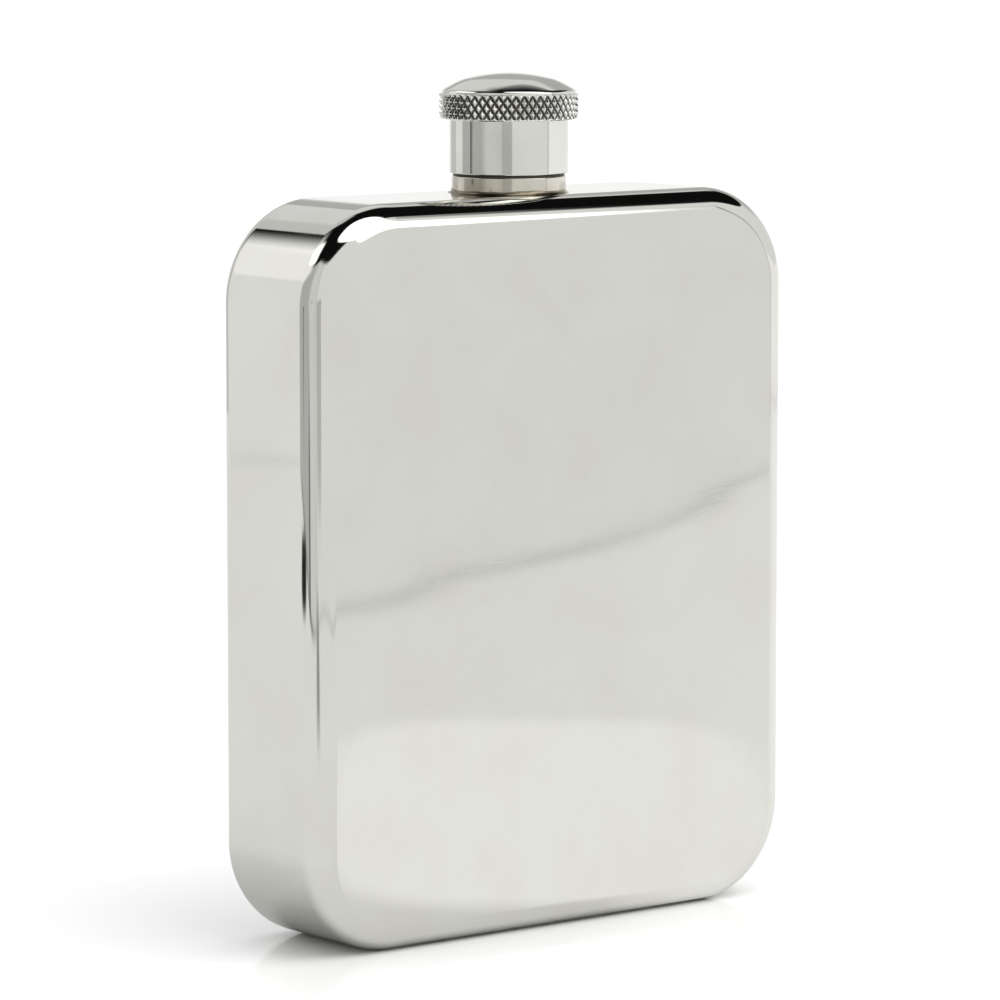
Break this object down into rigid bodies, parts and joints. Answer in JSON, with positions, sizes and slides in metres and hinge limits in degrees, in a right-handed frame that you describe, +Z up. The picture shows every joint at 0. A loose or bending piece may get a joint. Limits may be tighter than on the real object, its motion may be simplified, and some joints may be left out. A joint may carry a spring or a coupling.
{
  "type": "hip flask",
  "caption": "Flat round-cornered metal pocket flask that stands on its base, with a central threaded neck and a knurled domed screw cap that lifts as it unscrews.",
  "frame": {"origin": "centre of the base, on the surface the flask stands on", "axes": "+X across the width, -Y out of the front face, +Z up along the neck"},
  "size_m": [0.0904, 0.0244, 0.1279],
  "materials": {
    "polished_pewter": "polished pewter",
    "polished_pewter_back": "polished pewter",
    "seam_solder": "dull tin solder",
    "neck_metal": "turned pewter",
    "collar_pewter": "polished pewter",
    "neck_solder": "wiped tin solder",
    "cap_pewter": "polished pewter",
    "knurled_pewter": "knurled pewter",
    "dome_pewter": "polished pewter",
    "bush_brass": "turned brass",
    "seal_plastic": "soft white plastic"
  },
  "bodies": {
    "flask": {"body_front_pan": "polished_pewter", "body_back_pan": "polished_pewter_back", "body_seam_solder": "seam_solder", "neck_spout": "neck_metal", "neck_collar": "collar_pewter", "neck_solder_fillet": "neck_solder"},
    "cap_seal_body": {"cap_seal": "seal_plastic"},
    "cap": {"cap_skirt": "cap_pewter", "cap_knurled_rim": "knurled_pewter", "cap_dome": "dome_pewter", "cap_thread_bush": "bush_brass"}
  },
  "joints": [
    {"name": "cap_lift", "type": "slide", "parent": "flask", "child": "cap_seal_body", "axis": [0, 0, 1], "range_m": [0, 0.0106]},
    {"name": "cap_turn", "type": "hinge", "parent": "cap_seal_body", "child": "cap", "pos_m": [0, 0, 0.118], "axis": [0, 0, 1], "range_deg": [0, 1890]}
  ],
  "couplings": [
    {"joint": "cap_lift", "follows": "cap_turn", "m_per_rad": 0.00031831}
  ]
}
